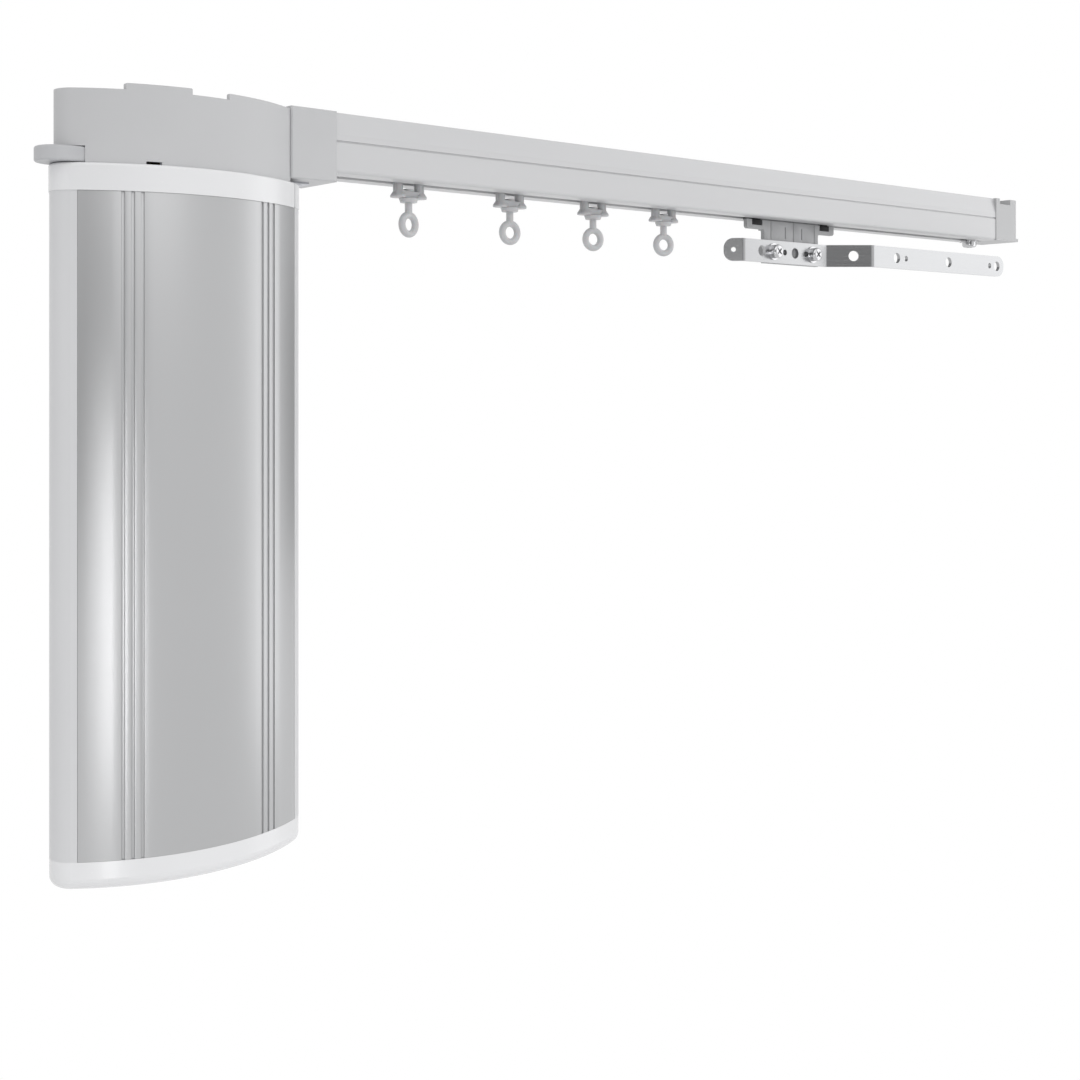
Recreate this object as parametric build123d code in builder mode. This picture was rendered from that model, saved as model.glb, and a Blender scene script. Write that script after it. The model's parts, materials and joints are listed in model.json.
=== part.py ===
from build123d import *
import math
import os

os.makedirs("parts", exist_ok=True)

# An electric curtain track that hangs under a ceiling.
# X runs along the rail, away from the motor. The viewer stands on the -Y side. Z is up.
# The origin is on the rail's flat top, at the middle of its length and of its width.

# Rail: an aluminium extrusion with a slot underneath, wheel flanges and a shelf for the belt
rail_length = 504.0
rail_width = 26.0
rail_height = 26.0
rail_wall = 1.4
rail_lean = 1.6
ridge_drop = 9.5
groove_drop = 12.1
groove_width = 0.9
groove_depth = 0.6
rail_edge_radius = 1.5
rail_top_radius = 0.7
slot_width = 6.5
flange_thickness = 1.5
shelf_drop = 12.8
shelf_thickness = 1.2
shelf_reach = 4.0

# Belt, pulleys and the fits between pieces
belt_height = 6.0
belt_thickness = 1.4
belt_gap = 0.2
belt_lift = 0.4
pulley_radius = 8.4
pulley_flange = 0.8
pulley_flange_rim = 1.0
pulley_teeth = 20
tooth_gap_depth = 0.9
tooth_gap_width = 1.2
seat_gap = 0.02
running_gap = 0.05
slide_gap = 0.3
part_gap = 0.1

# Motor body: bowed front panel, rear shell, collar on top and cap below
motor_setback = 49.5
body_half_width = 56.0
body_back_half_width = 46.0
body_depth = 43.0
body_back_y = 13.8
bow_radius = 82.8
front_corner_radius = 10.0
back_corner_radius = 9.0
panel_height = 254.1
panel_thickness = 1.8
panel_width_share = 0.8482
panel_groove_width = 1.1
panel_groove_depth = 0.7
panel_groove_pitch = 3.4
panel_groove_count = 3
panel_groove_middle = 29.5
shell_wall = 2.0
lip_depth = 1.7
lip_width = 3.6
collar_height = 10.6
collar_proud = 0.3
collar_wall = 2.6
collar_edge_radius = 1.2
collar_ledge = 2.2
collar_seam_width = 0.5
collar_seam_depth = 0.7
cap_height = 11.0
cap_edge_radius = 4.5
cap_wall = 2.4
cap_lip_height = 5.0
cap_lip_wall = 1.6

# Gearbox on top of the motor body
gearbox_top_drop = 3.7
plateau_rise = 2.5
gearbox_bottom_drop = 32.0
gearbox_inset = 1.6
gearbox_wall = 1.8
gearbox_roof = 1.3
gearbox_edge_radius = 0.5
parapet_thickness = 2.2
plateau_left_length = 24.8
plateau_left_end = 6.3
notch_length = 16.3
release_slot_length = 5.8
release_slot_height = 1.2
release_slot_x = 21.2
base_thickness = 2.0
midplate_drop = 15.2
midplate_thickness = 2.0
boss_radius = 3.0
tie_shares = [(-0.535, 0.66), (-0.535, 0.24), (0.5, 0.67), (0.5, 0.25)]
tie_grip = 5.0
collar_floor = 2.0
screw_radius = 1.25
screw_head_radius = 2.4
screw_head_height = 1.4

# Drive train: pinion of the motor unit, drive gear, shaft and bearings
gear_module = 0.5
drive_teeth = 36
pinion_teeth = 12
gear_height = 5.0
gear_drop = 22.0
pinion_height = 7.0
gear_backlash = 0.16
pinion_angle = 219.95
pinion_shaft_radius = 1.6
drive_shaft_radius = 2.5
bearing_radius = 5.0
bearing_height = 4.0
bearing_boss_wall = 2.0
gearhead_inset = 1.0
gearhead_length = 26.0
motor_room = 1.5
motor_length = 96.0
motor_boss_share = 0.295
motor_boss_height = 1.6
mount_thickness = 2.0
motor_screw_share = 0.53

# Locking lever on the left of the gearbox
lever_x = 45.0
lever_y = -5.0
lever_half_width = 9.0
lever_tip = 60.0
lever_inner_end = 39.0
lever_travel = 4.0
lever_thickness = 5.8
lever_lift = 0.3
lever_edge_radius = 0.8
lever_pin_radius = 1.5
lever_pin_head = 3.0
lever_pin_head_height = 1.0

# Circuit board, power module and sockets
board_width = 27.0
board_length = 150.0
board_thickness = 1.6
board_x = 27.0
board_drop = 70.0
board_standoff = 5.0
board_hole_edge = 4.0
module_width = 36.0
module_depth = 22.0
module_x = 12.0
module_lift = 24.7
module_clearance = 38.7
socket_width = 15.0
socket_depth = 12.0
socket_height = 13.0
socket_wall = 1.6
socket_floor = 2.0
socket_spacing = 44.0
inlet_pins = 3
control_pins = 6

# Coupler between gearbox and rail
coupler_left_overlap = 3.2
coupler_length = 22.4
coupler_wall = 1.05
coupler_floor = 4.0
coupler_gap = 0.15
coupler_edge = 0.5
latch_length = 9.0
latch_setback = 8.0
latch_width = 9.0
latch_thickness = 1.0
latch_hook = 1.6

# End cap with the idler pulley
cap_end_length = 21.9
cap_end_proud = 0.5
cap_end_post = 3.9
cap_end_notch = 11.2
cap_end_notch_depth = 3.4
cap_end_lip = 1.8
cap_end_lip_height = 2.0
cap_end_edge = 1.0
tongue_length = 27.0
tongue_gap = 0.3
idler_setback = 14.5
idler_axle_radius = 2.0
idler_boss_radius = 6.0
idler_screw_setback = 9.1
idler_screw_radius = 2.4
idler_screw_head_radius = 4.3
idler_screw_head_height = 3.4
idler_washer_radius = 5.2
idler_washer_height = 1.0
idler_screw_depth = 7.0

# Wheels shared by gliders and carrier
wheel_radius = 4.4
wheel_width = 3.6
wheel_lift = 0.1
wheel_y = 4.4
axle_radius = 1.0
axle_head_radius = 1.7
axle_head_height = 0.6
wheel_side_gap = 0.15

# Gliders: two posts through the slot, feet, a bridge and a swivelling eyelet
glider_shares = [-0.3683, -0.2516, -0.146, -0.0488]
eyelet_turns = [-11.0, 4.0, 11.0, 15.0]
post_pitch = 11.6
post_radius = 2.25
post_top_above_axle = 2.8
foot_radius = 3.5
foot_rim = 1.0
foot_height = 2.85
foot_drop = 6.3
bridge_height = 3.1
bridge_depth = 4.4
eyelet_shank_radius = 1.5
eyelet_head_radius = 2.4
eyelet_head_height = 1.0
eyelet_disc_radius = 4.4
eyelet_disc_height = 1.8
eyelet_neck_radius = 1.7
eyelet_ring_radius = 4.3
eyelet_wire_radius = 1.6
eyelet_hole_radius = 2.85
eyelet_drop = 18.0
hub_radius = 2.2

# Master carrier with belt clamps and arm
carrier_share = 0.1403
carrier_flange_length = 72.5
carrier_flange_drop = 5.7
carrier_front = 4.0
carrier_thickness = 2.6
carrier_boss_radius = 4.0
carrier_boss_back = 2.5
carrier_gap = 0.5
carrier_neck_length = 64.0
carrier_neck_width = 5.5
carrier_stem_length = 45.0
carrier_stem_drop = 23.9
carrier_corner_radius = 1.6
carrier_wheel_pitch = 32.0
carrier_seam_places = [-17.0, 1.5, 19.2]
carrier_seam_width = 0.4
carrier_seam_depth = 0.25
carrier_mark_places = [-5.1, 8.5]
carrier_mark_width = 0.8
carrier_mark_depth = 0.7
carrier_mark_top = 3.6
carrier_mark_length = 6.1
clamp_pitch = 56.0
clamp_length = 8.0
clamp_drop = 3.5
clamp_lip = 1.0
clamp_lip_reach = 1.2
arm_thickness = 2.0
arm_height = 12.2
arm_drop = 11.5
arm_left = -40.3
arm_plate_length = 67.9
arm_joggle_length = 20.0
arm_joggle_forward = 17.0
arm_far_length = 127.0
arm_tab_run = 7.4
arm_tab_back = 7.4
arm_bend_radii = [1.3, 1.3, 2.2]
arm_big_hole_radius = 2.9
arm_small_hole_radius = 1.6
arm_tab_hole_radius = 1.3
arm_plate_big_holes = [-26.5, 0.6]
arm_plate_small_holes = [-7.8, 9.6]
arm_screw_places = [-17.3, 15.1]
arm_far_big_holes = [69.0, 118.4, 167.5]
arm_far_small_holes = [77.5, 160.0]
arm_joggle_hole_share = 0.6
arm_screw_radius = 2.0
arm_screw_hole_gap = 0.2
arm_screw_depth = 6.0
arm_screw_head_radius = 3.7
arm_screw_head_height = 2.7
arm_spring_washer_radius = 3.7
arm_spring_washer_height = 1.1
arm_flat_washer_radius = 4.5
arm_flat_washer_height = 0.8
cross_width = 0.9
cross_length = 4.2
cross_depth = 1.4

# Places that follow from the sizes
glider_places = [share * rail_length for share in glider_shares]
carrier_x = carrier_share * rail_length
rail_start = -rail_length / 2
rail_end = rail_length / 2
motor_x = rail_start - motor_setback
body_front_y = body_back_y - body_depth
collar_top = -gearbox_bottom_drop
panel_top = collar_top - collar_height
panel_bottom = panel_top - panel_height
cap_bottom = panel_bottom - cap_height
flange_top = flange_thickness - rail_height
shelf_top = -shelf_drop
belt_bottom = shelf_top + belt_lift
belt_top = belt_bottom + belt_height
belt_radius = pulley_radius + belt_gap
pulley_bottom = belt_bottom - belt_gap
pulley_top = belt_top + part_gap
idler_x = rail_end - idler_setback
axle_z = flange_top + wheel_lift + wheel_radius
axle_half = wheel_y + wheel_width + wheel_side_gap
panel_half_width = panel_width_share * body_half_width
drive_radius = gear_module * drive_teeth / 2
pinion_radius = gear_module * pinion_teeth / 2
gear_distance = drive_radius + pinion_radius
pinion_x = motor_x + gear_distance * math.cos(math.radians(pinion_angle))
pinion_y = gear_distance * math.sin(math.radians(pinion_angle))
front_room = pinion_y - body_front_y - panel_thickness
back_room = body_back_y - shell_wall - pinion_y
motor_radius = min(front_room, back_room) - motor_room
gearhead_radius = motor_radius - gearhead_inset
motor_boss_radius = motor_boss_share * gearhead_radius
motor_screw_circle = motor_screw_share * gearhead_radius
tie_places = [(wide * body_half_width, body_back_y - deep * body_depth) for wide, deep in tie_shares]
socket_y = body_back_y - body_depth / 2
coupler_left = rail_start - coupler_left_overlap
coupler_right = coupler_left + coupler_length
coupler_half_depth = rail_width / 2 + coupler_gap + coupler_wall
base_bottom = collar_top - base_thickness
mount_top = panel_top
midplate_top = -midplate_drop
roof_bottom = -gearbox_top_drop - gearbox_roof


def save(part, name):
    """Labels a finished piece and writes it as a STEP file."""
    part.label = name
    export_step(part, f"parts/{name}.step")


def front_plane(x, y, z):
    """A plane that faces the viewer, its local X along the rail and its local Y up."""
    return Plane((x, y, z), x_dir=(1, 0, 0), z_dir=(0, -1, 0))


def body_plan(z, inset=0.0):
    """The motor body's plan at a height: bowed front, rounded corners, narrower flat back."""
    corner_depth = bow_radius - math.sqrt(bow_radius**2 - body_half_width**2)
    with BuildSketch(Plane((motor_x, body_front_y, z))) as plan:
        with BuildLine():
            ThreePointArc((-body_half_width, corner_depth), (0, 0), (body_half_width, corner_depth))
            Polyline(
                (body_half_width, corner_depth),
                (body_back_half_width, body_depth),
                (-body_back_half_width, body_depth),
                (-body_half_width, corner_depth),
            )
        make_face()
        fillet(plan.vertices().group_by(Axis.Y)[0], front_corner_radius)
        fillet(plan.vertices().group_by(Axis.Y)[-1], back_corner_radius)
        if inset:
            offset(amount=-inset, mode=Mode.REPLACE)
    return plan.sketch


def housing_plan(inset, right):
    """The gearbox's plan: the body's plan with a square neck, cut off at the coupler."""
    neck_left = motor_x + body_back_half_width / 2
    neck_half = body_back_y - inset
    with BuildSketch() as plan:
        add(body_plan(0, inset))
        with Locations(((neck_left + right) / 2, 0)):
            Rectangle(right - neck_left, 2 * neck_half)
        with Locations((right + body_half_width / 2, 0)):
            Rectangle(body_half_width, 3 * body_depth, mode=Mode.SUBTRACT)
    return plan.sketch


def belt_loop(z, radius):
    """The plan of the belt's loop round both pulleys, at a given radius."""
    with BuildSketch(Plane(((motor_x + idler_x) / 2, 0, z))) as loop:
        SlotCenterToCenter(idler_x - motor_x, 2 * radius)
    return loop.sketch


def tooth_outline(teeth, backlash, z, x, y, turn):
    """A spur gear's outline with straight tooth flanks, one tooth pointing at the angle turn."""
    pitch_radius = gear_module * teeth / 2
    tip = pitch_radius + gear_module * 0.9
    root = pitch_radius - gear_module * 1.15
    half_pitch = math.pi * gear_module / 4 - backlash / 2
    tip_half_share = 0.5
    root_half_share = 1.5
    corners = []
    for tooth in range(teeth):
        angle = math.radians(turn) + 2 * math.pi * tooth / teeth
        for radius, share in (
            (root, -root_half_share),
            (tip, -tip_half_share),
            (tip, tip_half_share),
            (root, root_half_share),
        ):
            side = share * half_pitch / pitch_radius
            corners.append((radius * math.cos(angle + side), radius * math.sin(angle + side)))
    with BuildSketch(Plane((x, y, z))) as outline:
        with BuildLine():
            Polyline(*corners, close=True)
        make_face()
    return outline.sketch


# The rail
with BuildPart() as rail:
    with BuildSketch(Plane.YZ.offset(rail_start)) as section:
        half = rail_width / 2
        inner = half - rail_wall
        shelf_edge = inner - shelf_reach
        with BuildLine():
            Polyline(
                (0, 0),
                (half - rail_lean, 0),
                (half, -ridge_drop),
                (half, -groove_drop),
                (half - groove_depth, -groove_drop),
                (half - groove_depth, -groove_drop - groove_width),
                (half, -groove_drop - groove_width),
                (half, -rail_height),
                (slot_width / 2, -rail_height),
                (slot_width / 2, flange_top),
                (inner, flange_top),
                (inner, shelf_top - shelf_thickness),
                (shelf_edge, shelf_top - shelf_thickness),
                (shelf_edge, shelf_top),
                (inner, shelf_top),
                (inner, -ridge_drop),
                (inner - rail_lean, -rail_wall),
                (0, -rail_wall),
                close=True,
            )
        make_face()
        low_corner = section.vertices().group_by(Axis.Y)[0].sort_by(Axis.X)[-1]
        fillet(low_corner, rail_edge_radius)
        top_corner = section.vertices().group_by(Axis.Y)[-1].sort_by(Axis.X)[-1]
        fillet(top_corner, rail_top_radius)
        mirror(about=Plane.YZ)
    extrude(amount=rail_length)
save(rail.part, "rail")

# The drive belt, a closed loop round both pulleys
with BuildPart() as drive_belt:
    extrude(belt_loop(belt_bottom, belt_radius + belt_thickness), amount=belt_height)
    extrude(belt_loop(belt_bottom, belt_radius), amount=belt_height, mode=Mode.SUBTRACT)
save(drive_belt.part, "drive_belt")


def pulley(x, bore):
    """A toothed belt pulley with one flange above the belt."""
    with BuildPart() as wheel:
        with BuildSketch(Plane((x, 0, pulley_bottom))):
            Circle(pulley_radius)
            with PolarLocations(pulley_radius, pulley_teeth):
                Rectangle(2 * tooth_gap_depth, tooth_gap_width, mode=Mode.SUBTRACT)
        extrude(amount=pulley_top - pulley_bottom)
        with BuildSketch(Plane((x, 0, pulley_top))):
            Circle(pulley_radius + pulley_flange_rim)
        extrude(amount=pulley_flange)
        with BuildSketch(Plane((x, 0, pulley_bottom))):
            Circle(bore)
        extrude(amount=pulley_top + pulley_flange - pulley_bottom, mode=Mode.SUBTRACT)
    return wheel.part


save(pulley(motor_x, drive_shaft_radius + seat_gap), "drive_pulley")
save(pulley(idler_x, idler_axle_radius + running_gap), "idler_pulley")

# The coupler: a cradle that grips the rail's end and stands against the gearbox
coupler_bottom = -rail_height - coupler_gap - coupler_floor
with BuildPart() as coupler_sleeve:
    with BuildSketch(Plane((coupler_left + coupler_length / 2, 0, coupler_bottom))):
        Rectangle(coupler_length, 2 * coupler_half_depth)
    extrude(amount=-coupler_bottom)
    front_edges = coupler_sleeve.faces().sort_by(Axis.Y)[0].edges()
    chamfer(front_edges, coupler_edge)
    with BuildSketch(Plane.YZ.offset(rail_start)):
        with Locations((0, -(rail_height + coupler_gap) / 2)):
            Rectangle(rail_width + 2 * coupler_gap, rail_height + coupler_gap)
    extrude(amount=coupler_length, mode=Mode.SUBTRACT)
    belt_room = belt_radius + belt_thickness + slide_gap
    with BuildSketch(Plane.YZ.offset(coupler_left)):
        with Locations((0, (belt_bottom + belt_top) / 2)):
            Rectangle(2 * belt_room, belt_height + 2 * slide_gap)
    extrude(amount=coupler_left_overlap, mode=Mode.SUBTRACT)
save(coupler_sleeve.part, "coupler_sleeve")

# A small sheet latch under the coupler
latch_right = coupler_right - latch_setback
with BuildPart() as coupler_latch:
    with BuildSketch(Plane.XZ.offset(-latch_width / 2)):
        with BuildLine():
            Polyline(
                (latch_right - latch_length, coupler_bottom),
                (latch_right, coupler_bottom),
                (latch_right, coupler_bottom - latch_thickness),
                (latch_right - latch_length / 2, coupler_bottom - latch_thickness),
                (latch_right - latch_length / 3, coupler_bottom - latch_hook),
                (latch_right - latch_length / 2, coupler_bottom - latch_hook),
                (latch_right - latch_length, coupler_bottom - latch_thickness),
                close=True,
            )
        make_face()
    extrude(amount=latch_width)
save(coupler_latch.part, "coupler_latch")

# The gearbox housing: an upturned cup with a notched parapet and a neck to the coupler
with BuildPart() as gearbox_housing:
    with BuildSketch(Plane((0, 0, collar_top))):
        add(housing_plan(gearbox_inset, coupler_left))
    extrude(amount=gearbox_bottom_drop - gearbox_top_drop)
    with BuildSketch(Plane((0, 0, -gearbox_top_drop))):
        add(housing_plan(gearbox_inset, coupler_left))
        inner_plan = housing_plan(gearbox_inset + parapet_thickness, coupler_left - parapet_thickness)
        add(inner_plan, mode=Mode.SUBTRACT)
        left_end = motor_x - plateau_left_end - plateau_left_length
        with Locations((left_end - body_half_width, 0)):
            Rectangle(2 * body_half_width, 3 * body_depth, mode=Mode.SUBTRACT)
        with Locations((motor_x - plateau_left_end + notch_length / 2, 0)):
            Rectangle(notch_length, 3 * body_depth, mode=Mode.SUBTRACT)
    extrude(amount=plateau_rise)
    fillet(gearbox_housing.faces().group_by(Axis.Z)[-1].edges(), gearbox_edge_radius)
    with BuildSketch(Plane((0, 0, collar_top))):
        add(housing_plan(gearbox_inset + gearbox_wall, coupler_left - gearbox_wall))
    extrude(amount=roof_bottom - collar_top, mode=Mode.SUBTRACT)
    belt_window = 2 * (belt_radius + belt_thickness + slide_gap)
    with BuildSketch(Plane.YZ.offset(coupler_left - 2 * gearbox_wall)):
        with Locations((0, (belt_bottom + belt_top) / 2)):
            Rectangle(belt_window, belt_height + 2 * slide_gap)
    extrude(amount=2 * gearbox_wall, mode=Mode.SUBTRACT)
    for tie_x, tie_y in tie_places:
        with BuildSketch(Plane((motor_x + tie_x, tie_y, midplate_top))):
            Circle(boss_radius)
            Circle(screw_radius + seat_gap, mode=Mode.SUBTRACT)
        extrude(amount=roof_bottom - midplate_top)
    slot_top = collar_top + lever_lift + lever_thickness + slide_gap
    with BuildSketch(Plane((motor_x - body_half_width, lever_y, collar_top))):
        Rectangle(2 * (body_half_width - lever_inner_end), 2 * (lever_half_width + slide_gap))
    extrude(amount=slot_top - collar_top, mode=Mode.SUBTRACT)
    with BuildSketch(Plane((motor_x - release_slot_x, body_front_y, collar_top))):
        Rectangle(release_slot_length, 8 * gearbox_wall)
    extrude(amount=release_slot_height, mode=Mode.SUBTRACT)
save(gearbox_housing.part, "gearbox_housing")

# The base plate that closes the gearbox and carries the lower bearing
with BuildPart() as gearbox_base:
    extrude(body_plan(base_bottom, collar_wall - collar_proud + part_gap), amount=base_thickness)
    with BuildSketch(Plane((motor_x, 0, base_bottom))):
        Circle(bearing_radius + bearing_boss_wall)
    extrude(amount=bearing_height)
    with BuildSketch(Plane((motor_x, 0, base_bottom))):
        Circle(bearing_radius + seat_gap)
    extrude(amount=bearing_height, mode=Mode.SUBTRACT)
    with BuildSketch(Plane((motor_x - lever_x, lever_y, base_bottom))):
        Circle(lever_pin_radius + seat_gap)
    extrude(amount=base_thickness, mode=Mode.SUBTRACT)
    with BuildSketch(Plane((pinion_x, pinion_y, base_bottom))):
        Circle(pinion_radius + gear_module + slide_gap)
    extrude(amount=bearing_height, mode=Mode.SUBTRACT)
    for tie_x, tie_y in tie_places:
        with BuildSketch(Plane((motor_x + tie_x, tie_y, collar_top))):
            Circle(boss_radius)
        extrude(amount=midplate_top - midplate_thickness - collar_top)
        with BuildSketch(Plane((motor_x + tie_x, tie_y, base_bottom))):
            Circle(screw_radius + seat_gap)
        extrude(amount=midplate_top - base_bottom, mode=Mode.SUBTRACT)
save(gearbox_base.part, "gearbox_base")

# The plate between gears and pulley, held on the base plate's posts
with BuildPart() as gearbox_midplate:
    extrude(
        body_plan(midplate_top - midplate_thickness, gearbox_inset + gearbox_wall + slide_gap),
        amount=midplate_thickness,
    )
    with BuildSketch(Plane((motor_x, 0, midplate_top - midplate_thickness))):
        Circle(bearing_radius + bearing_boss_wall)
    extrude(amount=bearing_height)
    with BuildSketch(Plane((motor_x, 0, midplate_top - midplate_thickness))):
        Circle(bearing_radius + seat_gap)
    extrude(amount=bearing_height, mode=Mode.SUBTRACT)
    for tie_x, tie_y in tie_places:
        with BuildSketch(Plane((motor_x + tie_x, tie_y, midplate_top - midplate_thickness))):
            Circle(screw_radius + seat_gap)
        extrude(amount=midplate_thickness, mode=Mode.SUBTRACT)
    with BuildSketch(Plane((coupler_left, 0, midplate_top - midplate_thickness))):
        Rectangle(4 * gearbox_wall, 3 * body_depth)
    extrude(amount=midplate_thickness, mode=Mode.SUBTRACT)
save(gearbox_midplate.part, "gearbox_midplate")

# Long tie screws from the motor mount up through collar and base plate into the housing
tie_foot = panel_top - mount_thickness
with BuildPart() as tie_screws:
    for tie_x, tie_y in tie_places:
        with BuildSketch(Plane((motor_x + tie_x, tie_y, tie_foot))):
            Circle(screw_radius)
        extrude(amount=midplate_top + tie_grip - tie_foot)
        with BuildSketch(Plane((motor_x + tie_x, tie_y, tie_foot))):
            Circle(screw_head_radius)
        extrude(amount=-screw_head_height)
save(tie_screws.part, "tie_screws")

# Two ball bearings of the drive shaft, as plain rings
with BuildPart() as drive_bearings:
    for z in (base_bottom, midplate_top - midplate_thickness):
        with BuildSketch(Plane((motor_x, 0, z))):
            Circle(bearing_radius)
            Circle(drive_shaft_radius + running_gap, mode=Mode.SUBTRACT)
        extrude(amount=bearing_height)
save(drive_bearings.part, "drive_bearings")

# The drive shaft from the lower bearing to the top of the pulley
with BuildPart() as drive_shaft:
    with BuildSketch(Plane((motor_x, 0, base_bottom))):
        Circle(drive_shaft_radius)
    extrude(amount=pulley_top + pulley_flange - base_bottom)
save(drive_shaft.part, "drive_shaft")

# The drive gear and the pinion that turns it
gear_bottom = -gear_drop - gear_height
mesh_angle = math.degrees(math.atan2(pinion_y, pinion_x - motor_x))
with BuildPart() as drive_gear:
    extrude(
        tooth_outline(drive_teeth, gear_backlash, gear_bottom, motor_x, 0, mesh_angle),
        amount=gear_height,
    )
    with BuildSketch(Plane((motor_x, 0, gear_bottom))):
        Circle(drive_shaft_radius + seat_gap)
    extrude(amount=gear_height, mode=Mode.SUBTRACT)
save(drive_gear.part, "drive_gear")

with BuildPart() as motor_pinion:
    pinion_bottom = gear_bottom - (pinion_height - gear_height) / 2
    half_tooth = 180 / pinion_teeth
    extrude(
        tooth_outline(
            pinion_teeth, gear_backlash, pinion_bottom, pinion_x, pinion_y, mesh_angle + half_tooth
        ),
        amount=pinion_height,
    )
    with BuildSketch(Plane((pinion_x, pinion_y, pinion_bottom))):
        Circle(pinion_shaft_radius)
    extrude(amount=mount_top - mount_thickness - gearhead_length / 3 - pinion_bottom)
save(motor_pinion.part, "motor_pinion")

# The locking latch, a tongue pushed in along X, and the pin that guides it
lever_bottom = collar_top + lever_lift
with BuildPart() as lock_lever:
    tip_x = motor_x - lever_tip + lever_half_width
    inner_x = motor_x - lever_inner_end
    with BuildSketch(Plane(((tip_x + inner_x) / 2, lever_y, lever_bottom))):
        Rectangle(inner_x - tip_x, 2 * lever_half_width)
        with Locations(((tip_x - inner_x) / 2, 0)):
            Circle(lever_half_width)
    extrude(amount=lever_thickness)
    rim = lock_lever.faces().group_by(Axis.Z)[0].edges() + lock_lever.faces().group_by(Axis.Z)[-1].edges()
    fillet(rim, lever_edge_radius)
    slot_x = motor_x - lever_x - lever_travel / 2
    with BuildSketch(Plane((slot_x, lever_y, lever_bottom))):
        SlotCenterToCenter(lever_travel, 2 * (lever_pin_radius + running_gap))
    extrude(amount=lever_thickness, mode=Mode.SUBTRACT)
save(lock_lever.part, "lock_lever")

with BuildPart() as lever_pin:
    with BuildSketch(Plane((motor_x - lever_x, lever_y, base_bottom))):
        Circle(lever_pin_radius)
    extrude(amount=lever_bottom + lever_thickness + lever_lift - base_bottom)
    with BuildSketch(Plane((motor_x - lever_x, lever_y, lever_bottom + lever_thickness + lever_lift))):
        Circle(lever_pin_head)
    extrude(amount=lever_pin_head_height)
save(lever_pin.part, "lever_pin")

# The white collar between gearbox and motor body
with BuildPart() as motor_collar:
    extrude(body_plan(panel_top, -collar_proud), amount=collar_height)
    fillet(motor_collar.faces().sort_by(Axis.Z)[-1].edges(), collar_edge_radius)
    extrude(
        body_plan(base_bottom, collar_wall - collar_proud), amount=base_thickness, mode=Mode.SUBTRACT
    )
    extrude(
        body_plan(panel_top + collar_floor, collar_wall - collar_proud + collar_ledge),
        amount=collar_height,
        mode=Mode.SUBTRACT,
    )
    for tie_x, tie_y in tie_places:
        with BuildSketch(Plane((motor_x + tie_x, tie_y, panel_top))):
            Circle(boss_radius)
        extrude(amount=base_bottom - panel_top)
        with BuildSketch(Plane((motor_x + tie_x, tie_y, panel_top))):
            Circle(screw_radius + seat_gap)
        extrude(amount=base_bottom - panel_top, mode=Mode.SUBTRACT)
    with BuildSketch(Plane((pinion_x, pinion_y, panel_top))):
        Circle(motor_screw_circle + screw_head_radius + slide_gap)
    extrude(amount=collar_floor, mode=Mode.SUBTRACT)
    with BuildSketch(Plane((0, 0, panel_top))):
        add(body_plan(0, -collar_proud))
        add(body_plan(0, collar_seam_depth - collar_proud), mode=Mode.SUBTRACT)
        with Locations((motor_x + panel_half_width, body_front_y + body_depth / 4)):
            Rectangle(collar_seam_width, body_depth / 2, mode=Mode.INTERSECT)
    extrude(amount=collar_height, mode=Mode.SUBTRACT)
save(motor_collar.part, "motor_collar")

# The silver front panel with two groups of upright grooves
with BuildPart() as front_panel:
    with BuildSketch(Plane((0, 0, panel_bottom))):
        add(body_plan(0))
        add(body_plan(0, panel_thickness), mode=Mode.SUBTRACT)
        with Locations((motor_x, body_front_y + body_depth / 4)):
            Rectangle(2 * panel_half_width, body_depth / 2, mode=Mode.INTERSECT)
    extrude(amount=panel_height)
    for side in (-1, 1):
        for number in range(panel_groove_count):
            along = panel_groove_middle + (number - (panel_groove_count - 1) / 2) * panel_groove_pitch
            deep = bow_radius - math.sqrt(bow_radius**2 - along**2)
            tilt = math.degrees(math.asin(along / bow_radius))
            with BuildSketch(Plane((motor_x + side * along, body_front_y + deep, panel_bottom))):
                Rectangle(panel_groove_width, 2 * panel_groove_depth, rotation=side * tilt)
            extrude(amount=panel_height, mode=Mode.SUBTRACT)
save(front_panel.part, "front_panel")

# The rear shell with lips behind the panel and bosses for board and module
inner_back_y = body_back_y - shell_wall
board_places = [
    (motor_x + board_x + side * (board_width / 2 - board_hole_edge), -board_drop - drop)
    for side in (-1, 1)
    for drop in (board_hole_edge, board_length - board_hole_edge)
]
motor_bottom = panel_top - mount_thickness - gearhead_length - motor_length - motor_boss_height
module_bottom = panel_bottom + module_lift
module_length = motor_bottom - module_clearance - module_bottom
module_shares = [0.25, 0.75]
module_places = [(motor_x - module_x, module_bottom + share * module_length) for share in module_shares]
with BuildPart() as rear_shell:
    with BuildSketch(Plane((0, 0, panel_bottom))):
        add(body_plan(0))
        add(body_plan(0, shell_wall), mode=Mode.SUBTRACT)
        with Locations((motor_x, body_front_y + body_depth / 4)):
            Rectangle(2 * (panel_half_width + part_gap), body_depth / 2, mode=Mode.SUBTRACT)
    extrude(amount=panel_height)
    for side in (-1, 1):
        with BuildSketch(Plane((0, 0, panel_bottom))):
            add(body_plan(0, panel_thickness + part_gap))
            add(body_plan(0, panel_thickness + part_gap + lip_depth), mode=Mode.SUBTRACT)
            with Locations((motor_x + side * panel_half_width, body_front_y + body_depth / 4)):
                Rectangle(2 * lip_width, body_depth / 2, mode=Mode.INTERSECT)
        extrude(amount=panel_height)
    for x, z in board_places:
        with BuildSketch(front_plane(x, inner_back_y + shell_wall / 2, z)):
            Circle(boss_radius)
            Circle(screw_radius + seat_gap, mode=Mode.SUBTRACT)
        extrude(amount=board_standoff + shell_wall / 2)
    for x, z in module_places:
        with BuildSketch(front_plane(x, inner_back_y + shell_wall / 2, z)):
            Circle(boss_radius)
        extrude(amount=board_standoff + shell_wall / 2)
save(rear_shell.part, "rear_shell")

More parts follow.
